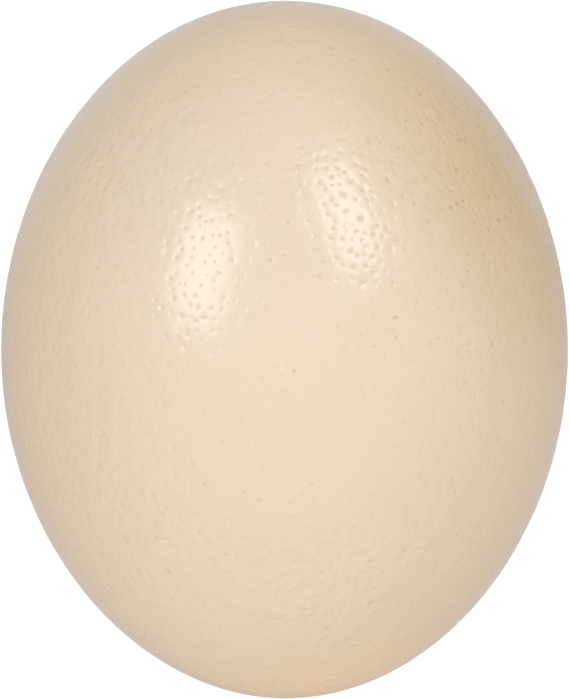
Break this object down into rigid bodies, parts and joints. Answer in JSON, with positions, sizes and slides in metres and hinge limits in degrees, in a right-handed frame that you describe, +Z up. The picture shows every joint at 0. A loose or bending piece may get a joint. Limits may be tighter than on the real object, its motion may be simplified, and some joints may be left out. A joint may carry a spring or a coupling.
{
  "type": "ostrich egg",
  "caption": "Whole ostrich egg with a glossy cream shell covered in fine pore pits, lying on its side on a small flat resting spot.",
  "frame": {"origin": "middle of the small flat resting spot under the egg's belly, which is the bottom centre of its bounding box", "axes": "+Z up, +Y along the long axis towards the blunter end, +X across the egg"},
  "size_m": [0.1267, 0.156, 0.1261],
  "materials": {
    "shell": "glossy cream eggshell with small pore pits"
  },
  "bodies": {
    "root": {"egg": "shell"}
  },
  "joints": []
}
